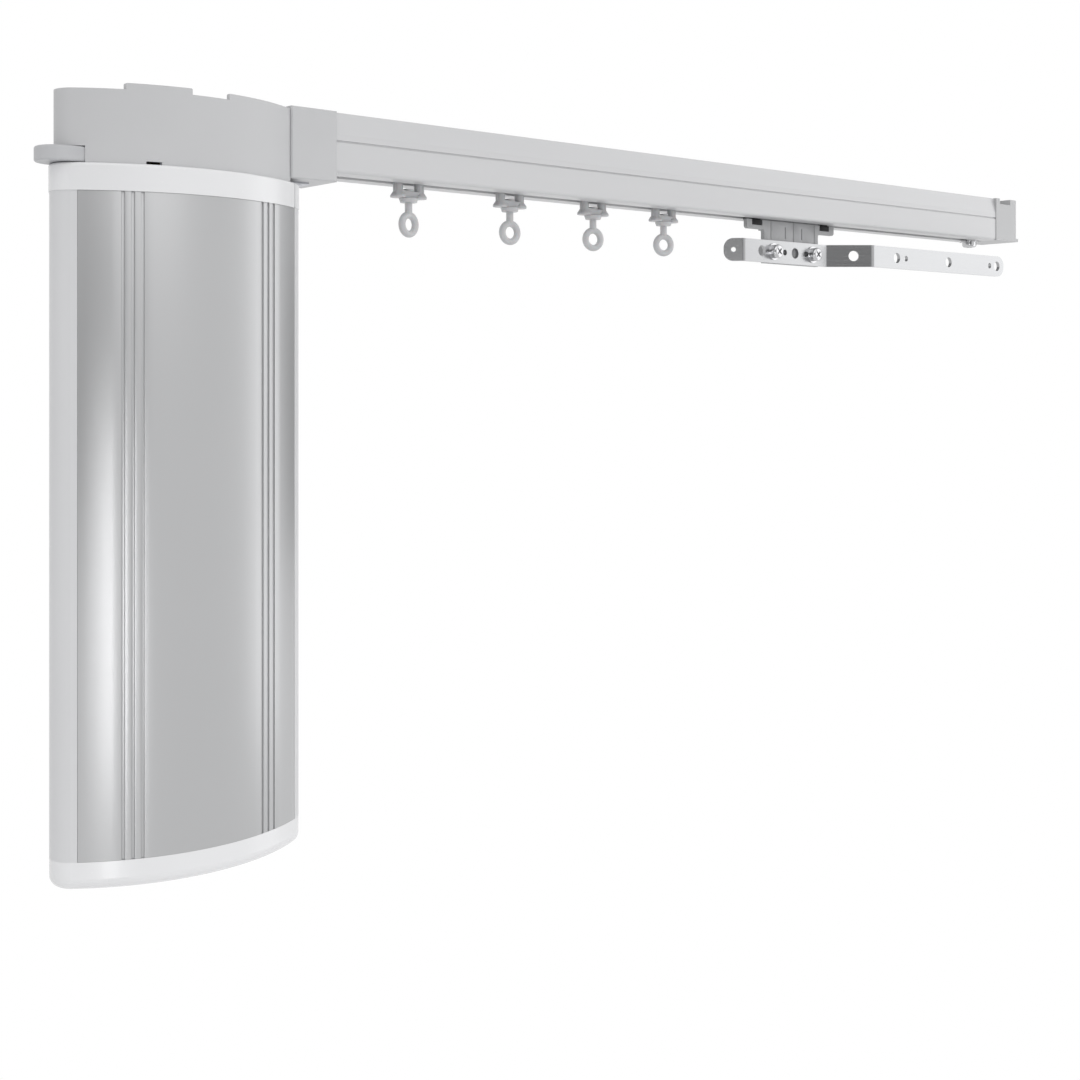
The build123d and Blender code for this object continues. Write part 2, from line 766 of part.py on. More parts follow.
# The white cap that closes the bottom, with two sockets
with BuildPart() as bottom_cap:
    extrude(body_plan(cap_bottom), amount=cap_height)
    fillet(bottom_cap.faces().sort_by(Axis.Z)[0].edges(), cap_edge_radius)
    extrude(body_plan(cap_bottom + cap_wall, cap_edge_radius), amount=cap_height, mode=Mode.SUBTRACT)
    lip_inset = panel_thickness + part_gap + lip_depth + part_gap
    with BuildSketch(Plane((0, 0, panel_bottom - cap_wall))):
        add(body_plan(0, lip_inset))
        add(body_plan(0, lip_inset + cap_lip_wall), mode=Mode.SUBTRACT)
    extrude(amount=cap_wall + cap_lip_height)
    with BuildSketch(Plane((0, 0, panel_bottom - cap_wall))):
        add(body_plan(0, cap_edge_radius / 2))
        add(body_plan(0, lip_inset + cap_lip_wall), mode=Mode.SUBTRACT)
    extrude(amount=cap_wall)
    for side in (-1, 1):
        with BuildSketch(Plane((motor_x + side * socket_spacing / 2, socket_y, cap_bottom))):
            Rectangle(socket_width + 2 * part_gap, socket_depth + 2 * part_gap)
        extrude(amount=cap_wall, mode=Mode.SUBTRACT)
save(bottom_cap.part, "bottom_cap")


def socket(side, pins):
    """A socket block in the bottom cap, open downwards, with its contacts."""
    with BuildPart() as block:
        x = motor_x + side * socket_spacing / 2
        with BuildSketch(Plane((x, socket_y, cap_bottom))):
            Rectangle(socket_width, socket_depth)
        extrude(amount=socket_height)
        with BuildSketch(Plane((x, socket_y, cap_bottom + cap_wall))):
            Rectangle(socket_width + 2 * socket_wall, socket_depth + 2 * socket_wall)
        extrude(amount=socket_wall)
        with BuildSketch(Plane((x, socket_y, cap_bottom))):
            Rectangle(socket_width - 2 * socket_wall, socket_depth - 2 * socket_wall)
        extrude(amount=socket_height - socket_floor, mode=Mode.SUBTRACT)
        pin_pitch = (socket_width - 2 * socket_wall) / (pins + 1)
        with BuildSketch(Plane((x, socket_y + socket_depth / 2 - 2 * socket_wall, cap_bottom + socket_height))):
            with GridLocations(pin_pitch, 0, pins, 1):
                Rectangle(pin_pitch / 3, socket_wall)
        extrude(amount=-socket_height * 2 / 3)
    return block.part


save(socket(-1, inlet_pins), "power_inlet")
save(socket(1, control_pins), "control_socket")

# The plate that carries the motor unit under the collar
mount_bottom = mount_top - mount_thickness
motor_screw_spots = [
    (pinion_x + side * motor_screw_circle, pinion_y) for side in (-1, 1)
]
with BuildPart() as motor_mount:
    extrude(
        body_plan(mount_bottom, panel_thickness + part_gap + lip_depth + part_gap),
        amount=mount_thickness,
    )
    with BuildSketch(Plane((pinion_x, pinion_y, mount_bottom))):
        Circle(motor_boss_radius + slide_gap)
    extrude(amount=mount_thickness, mode=Mode.SUBTRACT)
    tie_spots = [(motor_x + tie_x, tie_y) for tie_x, tie_y in tie_places]
    for x, y in motor_screw_spots + tie_spots:
        with BuildSketch(Plane((x, y, mount_bottom))):
            Circle(screw_radius + seat_gap)
        extrude(amount=mount_thickness, mode=Mode.SUBTRACT)
save(motor_mount.part, "motor_mount")

with BuildPart() as gearhead_case:
    with BuildSketch(Plane((pinion_x, pinion_y, mount_bottom))):
        Circle(gearhead_radius)
    extrude(amount=-gearhead_length)
    with BuildSketch(Plane((pinion_x, pinion_y, mount_bottom))):
        Circle(motor_boss_radius)
    extrude(amount=motor_boss_height)
    with BuildSketch(Plane((pinion_x, pinion_y, mount_bottom + motor_boss_height))):
        Circle(pinion_shaft_radius + running_gap)
    extrude(amount=-motor_boss_height - gearhead_length / 2, mode=Mode.SUBTRACT)
    for x, y in motor_screw_spots:
        with BuildSketch(Plane((x, y, mount_bottom))):
            Circle(screw_radius + seat_gap)
        extrude(amount=-gearhead_length / 4, mode=Mode.SUBTRACT)
save(gearhead_case.part, "gearhead_case")

with BuildPart() as motor_can:
    with BuildSketch(Plane((pinion_x, pinion_y, mount_bottom - gearhead_length))):
        Circle(motor_radius)
    extrude(amount=-motor_length)
    fillet(motor_can.faces().sort_by(Axis.Z)[0].edges(), motor_radius / 8)
    with BuildSketch(Plane((pinion_x, pinion_y, mount_bottom - gearhead_length - motor_length))):
        Circle(motor_boss_radius)
    extrude(amount=-motor_boss_height)
save(motor_can.part, "motor_can")

with BuildPart() as motor_screws:
    for x, y in motor_screw_spots:
        with BuildSketch(Plane((x, y, mount_top))):
            Circle(screw_head_radius)
        extrude(amount=screw_head_height)
        with BuildSketch(Plane((x, y, mount_top))):
            Circle(screw_radius)
        extrude(amount=-mount_thickness - gearhead_length / 5)
save(motor_screws.part, "motor_screws")

# Circuit board on the rear shell's bosses, with its larger components
board_back_y = inner_back_y - board_standoff
with BuildPart() as circuit_board:
    board_middle_z = -board_drop - board_length / 2
    board_plane = front_plane(motor_x + board_x, board_back_y, board_middle_z)
    with BuildSketch(board_plane):
        Rectangle(board_width, board_length)
        with GridLocations(board_width - 2 * board_hole_edge, board_length - 2 * board_hole_edge, 2, 2):
            Circle(screw_radius + seat_gap, mode=Mode.SUBTRACT)
    extrude(amount=board_thickness)
    with BuildSketch(board_plane.offset(board_thickness)):
        with GridLocations(0, board_length / 4, 1, 3):
            Rectangle(board_width / 2, board_length / 8)
    extrude(amount=2 * board_thickness)
    with BuildSketch(board_plane.offset(board_thickness)):
        with GridLocations(board_width / 3, board_length / 4, 2, 2):
            Circle(board_width / 8)
    extrude(amount=4 * board_thickness)
save(circuit_board.part, "circuit_board")

with BuildPart() as board_screws:
    for x, z in board_places:
        head_plane = front_plane(x, board_back_y - board_thickness, z)
        with BuildSketch(head_plane):
            Circle(screw_head_radius)
        extrude(amount=screw_head_height)
        with BuildSketch(head_plane):
            Circle(screw_radius)
        extrude(amount=-board_thickness - board_standoff / 2)
save(board_screws.part, "board_screws")

with BuildPart() as power_module:
    module_middle_z = module_bottom + module_length / 2
    with BuildSketch(front_plane(motor_x - module_x, board_back_y, module_middle_z)):
        Rectangle(module_width, module_length)
    extrude(amount=module_depth)
    chamfer(power_module.edges().filter_by(Axis.Y), module_width / 20)
save(power_module.part, "power_module")

# The end cap with its tongue in the rail
cap_left = rail_end
cap_right = rail_end + cap_end_length
cap_floor = -rail_height
tongue_half = rail_width / 2 - rail_wall - tongue_gap
tongue_top = shelf_top - shelf_thickness - tongue_gap
tongue_left = rail_end - tongue_length
with BuildPart() as idler_housing:
    with BuildSketch(Plane(((cap_left + cap_right) / 2, 0, cap_floor))):
        Rectangle(cap_end_length, rail_width + 2 * cap_end_proud)
    extrude(amount=-cap_floor)
    fillet(idler_housing.edges().filter_by(Axis.Z).group_by(Axis.X)[-1], cap_end_edge)
    notch_x = cap_left + cap_end_post + cap_end_notch / 2
    with BuildSketch(Plane((notch_x, 0, 0))):
        Rectangle(cap_end_notch, 2 * rail_width)
    extrude(amount=-cap_end_notch_depth, mode=Mode.SUBTRACT)
    with BuildSketch(Plane((cap_right, 0, cap_floor))):
        Rectangle(2 * cap_end_lip, rail_width + 2 * cap_end_proud)
    extrude(amount=cap_end_lip_height)
    with BuildSketch(Plane((cap_left + (tongue_left - cap_left) / 2, 0, flange_top + tongue_gap))):
        Rectangle(cap_left - tongue_left, 2 * tongue_half)
    extrude(amount=tongue_top - flange_top - tongue_gap)
    with BuildSketch(Plane((idler_x, 0, tongue_top))):
        Circle(idler_boss_radius)
    extrude(amount=pulley_bottom - belt_gap - tongue_top)
    with BuildSketch(Plane((idler_x, 0, pulley_bottom - belt_gap))):
        Circle(idler_axle_radius + seat_gap)
    extrude(amount=-(pulley_bottom - belt_gap - tongue_top) - idler_axle_radius, mode=Mode.SUBTRACT)
    with BuildSketch(Plane((rail_end - idler_screw_setback, 0, flange_top))):
        Circle(idler_screw_radius + seat_gap)
    extrude(amount=idler_screw_depth - flange_thickness, mode=Mode.SUBTRACT)
save(idler_housing.part, "idler_housing")

with BuildPart() as idler_axle:
    axle_foot = tongue_top - idler_axle_radius
    with BuildSketch(Plane((idler_x, 0, axle_foot))):
        Circle(idler_axle_radius)
    extrude(amount=pulley_top + pulley_flange + belt_gap - axle_foot)
    with BuildSketch(Plane((idler_x, 0, pulley_top + pulley_flange + belt_gap))):
        Circle(1.6 * idler_axle_radius)
    extrude(amount=pulley_flange)
save(idler_axle.part, "idler_axle")

# The screw under the rail that holds the tongue, with its washer
with BuildPart() as idler_screw:
    screw_x = rail_end - idler_screw_setback
    with BuildSketch(Plane((screw_x, 0, -rail_height))):
        Circle(idler_screw_radius)
    extrude(amount=idler_screw_depth)
    with BuildSketch(Plane((screw_x, 0, -rail_height))):
        Circle(idler_washer_radius)
    extrude(amount=-idler_washer_height)
    with BuildSketch(Plane((screw_x, 0, -rail_height - idler_washer_height))):
        Circle(idler_screw_head_radius)
    extrude(amount=-idler_screw_head_height)
    fillet(idler_screw.faces().sort_by(Axis.Z)[0].edges(), idler_screw_head_height / 2)
    with BuildSketch(Plane((screw_x, 0, -rail_height - idler_washer_height - idler_screw_head_height))):
        Rectangle(cross_length, cross_width)
        Rectangle(cross_width, cross_length)
    extrude(amount=cross_depth, mode=Mode.SUBTRACT)
save(idler_screw.part, "idler_screw")


def wheel_pair(x):
    """Two wheels on one axle, one on each flange of the rail."""
    with BuildPart() as pair:
        for side in (-1, 1):
            with BuildSketch(Plane((x, side * wheel_y, axle_z), z_dir=(0, side, 0))):
                Circle(wheel_radius)
                Circle(axle_radius + running_gap, mode=Mode.SUBTRACT)
            extrude(amount=wheel_width)
        chamfer(
            pair.edges().filter_by(GeomType.CIRCLE).filter_by(lambda e: e.radius > wheel_radius - part_gap),
            wheel_side_gap,
        )
    return pair.part


def axles(places):
    """Steel axles across the rail, each with a head at both ends."""
    with BuildPart() as pins:
        for x in places:
            with BuildSketch(front_plane(x, axle_half, axle_z)):
                Circle(axle_radius)
            extrude(amount=2 * axle_half)
            for side in (-1, 1):
                with BuildSketch(Plane((x, side * axle_half, axle_z), z_dir=(0, side, 0))):
                    Circle(axle_head_radius)
                extrude(amount=axle_head_height)
    return pins.part


def glider(x):
    """A glider's body: two round posts with axle hubs, flared feet and a bridge with a bore."""
    low = -rail_height - foot_drop
    post_top = axle_z + post_top_above_axle
    flare = math.degrees(math.atan((foot_radius - post_radius) / (foot_height - foot_rim)))
    with BuildPart() as body:
        for side in (-1, 1):
            post_x = x + side * post_pitch / 2
            with BuildSketch(Plane((post_x, 0, low))):
                Circle(post_radius)
            extrude(amount=post_top - low)
            with BuildSketch(Plane((post_x, 0, low))):
                Circle(foot_radius)
            extrude(amount=foot_rim)
            with BuildSketch(Plane((post_x, 0, low + foot_rim))):
                Circle(foot_radius)
            extrude(amount=foot_height - foot_rim, taper=flare)
            with BuildSketch(front_plane(post_x, wheel_y - wheel_side_gap, axle_z)):
                Circle(hub_radius)
            extrude(amount=2 * (wheel_y - wheel_side_gap))
        with BuildSketch(Plane((x, 0, low))):
            Rectangle(post_pitch, bridge_depth)
        extrude(amount=bridge_height)
        for side in (-1, 1):
            with BuildSketch(front_plane(x + side * post_pitch / 2, axle_half, axle_z)):
                Circle(axle_radius + seat_gap)
            extrude(amount=2 * axle_half, mode=Mode.SUBTRACT)
        with BuildSketch(Plane((x, 0, low))):
            Circle(eyelet_shank_radius + running_gap)
        extrude(amount=bridge_height, mode=Mode.SUBTRACT)
    return body.part


def eyelet(x, turn):
    """A swivelling eyelet: head, shank, disc, neck and ring, turned about its own axis."""
    under = -rail_height
    low = under - foot_drop
    top = low + bridge_height + part_gap
    disc_top = low - part_gap
    ring_z = under - eyelet_drop
    ring_dir = (math.sin(math.radians(turn)), math.cos(math.radians(turn)), 0)
    with BuildPart() as ring:
        with BuildSketch(Plane((x, 0, top))):
            Circle(eyelet_head_radius)
        extrude(amount=eyelet_head_height)
        with BuildSketch(Plane((x, 0, disc_top))):
            Circle(eyelet_shank_radius)
        extrude(amount=top - disc_top)
        with BuildSketch(Plane((x, 0, disc_top))):
            Circle(eyelet_disc_radius)
        extrude(amount=-eyelet_disc_height, taper=20)
        with BuildSketch(Plane((x, 0, disc_top - eyelet_disc_height))):
            Circle(eyelet_neck_radius)
        extrude(amount=ring_z + eyelet_ring_radius - disc_top + eyelet_disc_height)
        side_dir = (-ring_dir[1], ring_dir[0], 0)
        wire = Plane((x, 0, ring_z + eyelet_ring_radius), x_dir=(0, 0, 1), z_dir=side_dir)
        with BuildSketch(wire):
            Circle(eyelet_wire_radius)
        revolve(axis=Axis((x, 0, ring_z), ring_dir), revolution_arc=360)
        with BuildSketch(Plane((x, 0, ring_z), z_dir=ring_dir)):
            Circle(eyelet_hole_radius)
        extrude(amount=2 * eyelet_wire_radius, both=True, mode=Mode.SUBTRACT)
    return ring.part


for number, (place, turn) in enumerate(zip(glider_places, eyelet_turns), start=1):
    posts = [place - post_pitch / 2, place + post_pitch / 2]
    save(glider(place), f"glider_{number}_body")
    save(axles(posts), f"glider_{number}_axles")
    save(wheel_pair(posts[0]), f"glider_{number}_wheels_left")
    save(wheel_pair(posts[1]), f"glider_{number}_wheels_right")
    save(eyelet(place, turn), f"glider_{number}_eyelet")

# The master carrier: a plate under the rail, a neck through the slot and bosses for the arm's screws
under_rail = -rail_height
neck_top = axle_z + post_top_above_axle
flange_bottom = under_rail - carrier_flange_drop
carrier_wheels = [carrier_x - carrier_wheel_pitch / 2, carrier_x + carrier_wheel_pitch / 2]
front_y = -carrier_front
plate_y = front_y + carrier_thickness / 2
with BuildPart() as carrier_body:
    with BuildSketch(Plane((carrier_x, plate_y, under_rail - carrier_gap))):
        Rectangle(carrier_flange_length, carrier_thickness)
    extrude(amount=carrier_gap - carrier_flange_drop)
    fillet(
        carrier_body.faces().sort_by(Axis.Z)[0].edges().filter_by(Axis.Y), carrier_corner_radius
    )
    with BuildSketch(Plane((carrier_x, plate_y, flange_bottom))):
        Rectangle(carrier_stem_length, carrier_thickness)
    extrude(amount=carrier_flange_drop - carrier_stem_drop)
    stem_corners = carrier_body.edges().filter_by(Axis.Y).filter_by(
        lambda e: abs(e.center().Z - flange_bottom) < seat_gap
        and abs(e.center().X - carrier_x) < carrier_stem_length / 2 + seat_gap
    )
    fillet(stem_corners, carrier_corner_radius)
    with BuildSketch(Plane((carrier_x, 0, under_rail - carrier_gap))):
        Rectangle(carrier_neck_length, carrier_neck_width)
    extrude(amount=neck_top - under_rail + carrier_gap)
    with BuildSketch(Plane((carrier_x, 0, under_rail - carrier_gap))):
        Rectangle(clamp_pitch - 2 * clamp_length, carrier_neck_width)
    extrude(amount=carrier_gap - carrier_flange_drop)
    for x in carrier_wheels:
        with BuildSketch(front_plane(x, wheel_y - wheel_side_gap, axle_z)):
            Circle(hub_radius)
        extrude(amount=2 * (wheel_y - wheel_side_gap))
        with BuildSketch(front_plane(x, axle_half, axle_z)):
            Circle(axle_radius + seat_gap)
        extrude(amount=2 * axle_half, mode=Mode.SUBTRACT)
    for side in (-1, 1):
        with BuildSketch(Plane((carrier_x + side * clamp_pitch / 2, 0, under_rail - clamp_drop))):
            Rectangle(clamp_length + 2 * seat_gap, 4 * carrier_front)
        extrude(amount=neck_top - under_rail + clamp_drop, mode=Mode.SUBTRACT)
    for place in carrier_seam_places:
        seam_length = carrier_stem_drop - carrier_gap
        seam_z = under_rail - carrier_gap - seam_length / 2
        with BuildSketch(front_plane(carrier_x + place, front_y, seam_z)):
            Rectangle(carrier_seam_width, seam_length)
        extrude(amount=-carrier_seam_depth, mode=Mode.SUBTRACT)
    for place in carrier_mark_places:
        mark_z = under_rail - carrier_mark_top - carrier_mark_length / 2
        with BuildSketch(front_plane(carrier_x + place, front_y, mark_z)):
            Rectangle(carrier_mark_width, carrier_mark_length)
        extrude(amount=-carrier_mark_depth, mode=Mode.SUBTRACT)
    for place in arm_screw_places:
        arm_middle_z = under_rail - arm_drop - arm_height / 2
        with BuildSketch(front_plane(carrier_x + place, front_y, arm_middle_z)):
            Circle(carrier_boss_radius)
        extrude(amount=-carrier_front - carrier_boss_back)
        with BuildSketch(front_plane(carrier_x + place, front_y, arm_middle_z)):
            Circle(arm_screw_radius + seat_gap)
        extrude(amount=-arm_screw_depth - seat_gap, mode=Mode.SUBTRACT)
save(carrier_body.part, "carrier_body")

# Two black clamps that reach up to the belt's front run
with BuildPart() as belt_clamps:
    for side in (-1, 1):
        clamp_x = carrier_x + side * clamp_pitch / 2
        with BuildSketch(Plane((clamp_x, plate_y, under_rail - clamp_drop))):
            Rectangle(clamp_length, carrier_thickness)
        extrude(amount=clamp_drop - carrier_gap)
        with BuildSketch(Plane((clamp_x, 0, under_rail - carrier_gap))):
            Rectangle(clamp_length, carrier_neck_width)
        extrude(amount=belt_top + slide_gap - under_rail + carrier_gap)
        jaw_front = -(belt_radius - slide_gap)
        jaw_back = carrier_neck_width / 2
        with BuildSketch(Plane((clamp_x, (jaw_front + jaw_back) / 2, belt_bottom))):
            Rectangle(clamp_length, jaw_back - jaw_front)
        extrude(amount=belt_height + slide_gap)
        lip_front = jaw_front - clamp_lip_reach
        with BuildSketch(Plane((clamp_x, (lip_front + jaw_back) / 2, belt_top + slide_gap))):
            Rectangle(clamp_length, jaw_back - lip_front)
        extrude(amount=clamp_lip)
save(belt_clamps.part, "belt_clamps")

save(axles(carrier_wheels), "carrier_axles")
save(wheel_pair(carrier_wheels[0]), "carrier_wheels_left")
save(wheel_pair(carrier_wheels[1]), "carrier_wheels_right")

# The steel arm: a strip bent back at its near end and joggled towards the viewer
arm_bottom = under_rail - arm_drop - arm_height
arm_middle_z = arm_bottom + arm_height / 2
arm_y = front_y - arm_thickness / 2
arm_x = carrier_x + arm_left
joggle_x = arm_x + arm_plate_length
far_x = joggle_x + arm_joggle_length
far_y = arm_y - arm_joggle_forward
with BuildPart() as carrier_arm:
    with BuildSketch(Plane.XY.offset(arm_bottom)):
        with BuildLine():
            FilletPolyline(
                (arm_x - arm_tab_run, arm_y + arm_tab_back),
                (arm_x, arm_y),
                (joggle_x, arm_y),
                (far_x, far_y),
                (far_x + arm_far_length, far_y),
                radius=arm_bend_radii,
            )
        trace(line_width=arm_thickness)
    extrude(amount=arm_height)
    end_face = carrier_arm.faces().sort_by(Axis.X)[-1]
    fillet(end_face.edges().filter_by(Axis.Y), arm_height / 2.05)
    tab_face = carrier_arm.faces().sort_by(Axis.X)[0]
    fillet(tab_face.edges().filter_by(Axis.Z, reverse=True), arm_height / 2.4)
    hole_places = [(carrier_x + place, arm_big_hole_radius) for place in arm_plate_big_holes]
    hole_places += [(carrier_x + place, arm_small_hole_radius) for place in arm_plate_small_holes]
    hole_places += [
        (carrier_x + place, arm_screw_radius + arm_screw_hole_gap) for place in arm_screw_places
    ]
    for x, radius in hole_places:
        with BuildSketch(front_plane(x, arm_y - arm_thickness, arm_middle_z)):
            Circle(radius)
        extrude(amount=-2 * arm_thickness, mode=Mode.SUBTRACT)
    far_holes = [(carrier_x + place, arm_big_hole_radius) for place in arm_far_big_holes]
    far_holes += [(carrier_x + place, arm_small_hole_radius) for place in arm_far_small_holes]
    for x, radius in far_holes:
        with BuildSketch(front_plane(x, far_y - arm_thickness, arm_middle_z)):
            Circle(radius)
        extrude(amount=-2 * arm_thickness, mode=Mode.SUBTRACT)
    joggle_length = math.hypot(arm_joggle_length, arm_joggle_forward)
    joggle_dir = (-arm_joggle_forward / joggle_length, -arm_joggle_length / joggle_length, 0)
    joggle_hole_x = joggle_x + arm_joggle_hole_share * arm_joggle_length
    joggle_hole_y = arm_y - arm_joggle_hole_share * arm_joggle_forward
    with BuildSketch(Plane((joggle_hole_x, joggle_hole_y, arm_middle_z), z_dir=joggle_dir)):
        Circle(arm_big_hole_radius)
    extrude(amount=2 * arm_thickness, both=True, mode=Mode.SUBTRACT)
    tab_dir = (-arm_tab_back, -arm_tab_run, 0)
    tab_middle = (arm_x - arm_tab_run / 2, arm_y + arm_tab_back / 2, arm_middle_z)
    with BuildSketch(Plane(tab_middle, z_dir=tab_dir)):
        Circle(arm_tab_hole_radius)
    extrude(amount=2 * arm_thickness, both=True, mode=Mode.SUBTRACT)
save(carrier_arm.part, "carrier_arm")

# The arm's two screws with their washers
arm_front_y = arm_y - arm_thickness / 2
head_y = arm_front_y - arm_flat_washer_height - arm_spring_washer_height
with BuildPart() as arm_screws:
    for place in arm_screw_places:
        head_plane = front_plane(carrier_x + place, head_y, arm_middle_z)
        with BuildSketch(head_plane):
            Circle(arm_screw_head_radius)
        extrude(amount=arm_screw_head_height)
        with BuildSketch(head_plane):
            Circle(arm_screw_radius)
        extrude(amount=head_y - front_y - arm_screw_depth)
    crown = arm_screws.faces().group_by(Axis.Y)[0].edges()
    fillet(crown, arm_screw_head_height / 2)
    for place in arm_screw_places:
        crown_y = head_y - arm_screw_head_height
        with BuildSketch(front_plane(carrier_x + place, crown_y, arm_middle_z)):
            Rectangle(cross_length, cross_width, rotation=45)
            Rectangle(cross_length, cross_width, rotation=-45)
        extrude(amount=-cross_depth, mode=Mode.SUBTRACT)
save(arm_screws.part, "arm_screws")

with BuildPart() as arm_washers:
    for place in arm_screw_places:
        with BuildSketch(front_plane(carrier_x + place, arm_front_y, arm_middle_z)):
            Circle(arm_flat_washer_radius)
            Circle(arm_screw_radius + part_gap, mode=Mode.SUBTRACT)
        extrude(amount=arm_flat_washer_height)
        spring_y = arm_front_y - arm_flat_washer_height
        with BuildSketch(front_plane(carrier_x + place, spring_y, arm_middle_z)):
            Circle(arm_spring_washer_radius)
            Circle(arm_screw_radius + part_gap, mode=Mode.SUBTRACT)
            with Locations((arm_spring_washer_radius, 0)):
                Rectangle(2 * arm_spring_washer_radius, part_gap * 4, mode=Mode.SUBTRACT)
        extrude(amount=arm_spring_washer_height)
save(arm_washers.part, "arm_washers")
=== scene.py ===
import json
import math
import bpy
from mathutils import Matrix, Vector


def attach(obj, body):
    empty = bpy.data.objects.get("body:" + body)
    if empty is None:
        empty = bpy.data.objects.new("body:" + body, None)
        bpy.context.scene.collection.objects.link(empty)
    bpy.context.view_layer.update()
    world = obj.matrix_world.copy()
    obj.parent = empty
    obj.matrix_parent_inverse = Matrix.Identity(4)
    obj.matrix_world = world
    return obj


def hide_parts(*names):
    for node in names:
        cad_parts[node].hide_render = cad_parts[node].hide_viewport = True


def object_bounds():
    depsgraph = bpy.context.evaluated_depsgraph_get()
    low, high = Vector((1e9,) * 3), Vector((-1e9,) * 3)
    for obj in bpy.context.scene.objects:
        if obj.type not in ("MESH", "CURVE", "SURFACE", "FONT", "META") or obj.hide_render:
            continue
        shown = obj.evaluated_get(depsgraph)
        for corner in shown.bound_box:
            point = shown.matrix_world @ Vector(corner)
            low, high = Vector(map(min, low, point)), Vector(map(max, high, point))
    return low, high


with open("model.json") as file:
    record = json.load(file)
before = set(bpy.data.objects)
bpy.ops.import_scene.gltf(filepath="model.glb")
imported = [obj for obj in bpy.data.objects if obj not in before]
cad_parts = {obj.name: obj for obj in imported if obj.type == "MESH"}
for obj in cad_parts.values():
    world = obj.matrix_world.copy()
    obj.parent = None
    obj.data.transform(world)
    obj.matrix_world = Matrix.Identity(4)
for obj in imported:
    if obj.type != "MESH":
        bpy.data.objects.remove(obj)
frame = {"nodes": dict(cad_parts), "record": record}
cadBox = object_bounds()  # the CAD model's box, kept before anything is added
nodes = frame["nodes"]
scene = bpy.context.scene
bpy.ops.object.select_all(action="DESELECT")
print("frame loaded:", len(nodes), "nodes")


# helpers for node materials
def newMaterial(name, color, roughness, metallic):
    mat = bpy.data.materials.new(name)
    mat.use_nodes = True
    shader = mat.node_tree.nodes["Principled BSDF"]
    shader.inputs["Base Color"].default_value = (*color, 1)
    shader.inputs["Roughness"].default_value = roughness
    shader.inputs["Metallic"].default_value = metallic
    return mat, mat.node_tree, shader


def objectCoords(tree, scale):
    coords = tree.nodes.new("ShaderNodeTexCoord")
    mapping = tree.nodes.new("ShaderNodeMapping")
    mapping.inputs["Scale"].default_value = scale
    tree.links.new(coords.outputs["Object"], mapping.inputs["Vector"])
    return mapping


def noise(tree, vector, scale, detail, roughness):
    tex = tree.nodes.new("ShaderNodeTexNoise")
    tex.inputs["Scale"].default_value = scale
    tex.inputs["Detail"].default_value = detail
    tex.inputs["Roughness"].default_value = roughness
    tree.links.new(vector.outputs["Vector"], tex.inputs["Vector"])
    return tex


def ramp(tree, source, stops):
    node = tree.nodes.new("ShaderNodeValToRGB")
    for element, (place, color) in zip(node.color_ramp.elements, stops):
        element.position = place
        element.color = (*color, 1)
    tree.links.new(source, node.inputs["Fac"])
    return node


def spread(tree, source, low, high):
    node = tree.nodes.new("ShaderNodeMapRange")
    node.inputs["To Min"].default_value = low
    node.inputs["To Max"].default_value = high
    tree.links.new(source, node.inputs["Value"])
    return node


def bump(tree, shader, source, strength, distance):
    node = tree.nodes.new("ShaderNodeBump")
    node.inputs["Strength"].default_value = strength
    node.inputs["Distance"].default_value = distance
    tree.links.new(source, node.inputs["Height"])
    tree.links.new(node.outputs["Normal"], shader.inputs["Normal"])


def shade(color, amount):
    return tuple(max(0.0, min(1.0, part * amount)) for part in color)


# how the grain and the slow drift of tone are built up, alike on every finish
grainPattern = {"detail": 5.0, "roughness": 0.6}
driftPattern = {"detail": 3.0, "roughness": 0.5, "darkAt": 0.3, "lightAt": 0.7}
even = (1, 1, 1)


# a fine surface grain that varies the gloss, and a slow drift of tone over the piece
def grainedFinish(name, look):
    mat, tree, shader = newMaterial(name, look["color"], look["roughness"], look.get("metallic", 0.0))
    driftCoords = objectCoords(tree, look.get("stretch", even))
    drift = noise(tree, driftCoords, look["driftScale"], driftPattern["detail"], driftPattern["roughness"])
    tone = ramp(tree, drift.outputs["Fac"], [
        (driftPattern["darkAt"], shade(look["color"], 1 - look["driftAmount"])),
        (driftPattern["lightAt"], shade(look["color"], 1 + look["driftAmount"])),
    ])
    tree.links.new(tone.outputs["Color"], shader.inputs["Base Color"])
    grainCoords = objectCoords(tree, look.get("grainStretch", even))
    grain = noise(tree, grainCoords, look["grainScale"], grainPattern["detail"], grainPattern["roughness"])
    low, high = look["roughness"] - look["glossSpread"], look["roughness"] + look["glossSpread"]
    gloss = spread(tree, grain.outputs["Fac"], low, high)
    tree.links.new(gloss.outputs["Result"], shader.inputs["Roughness"])
    bump(tree, shader, grain.outputs["Fac"], look["bumpStrength"], look["bumpDepth"])
    for socket, value in look.get("sockets", {}).items():
        shader.inputs[socket].default_value = value
    return mat


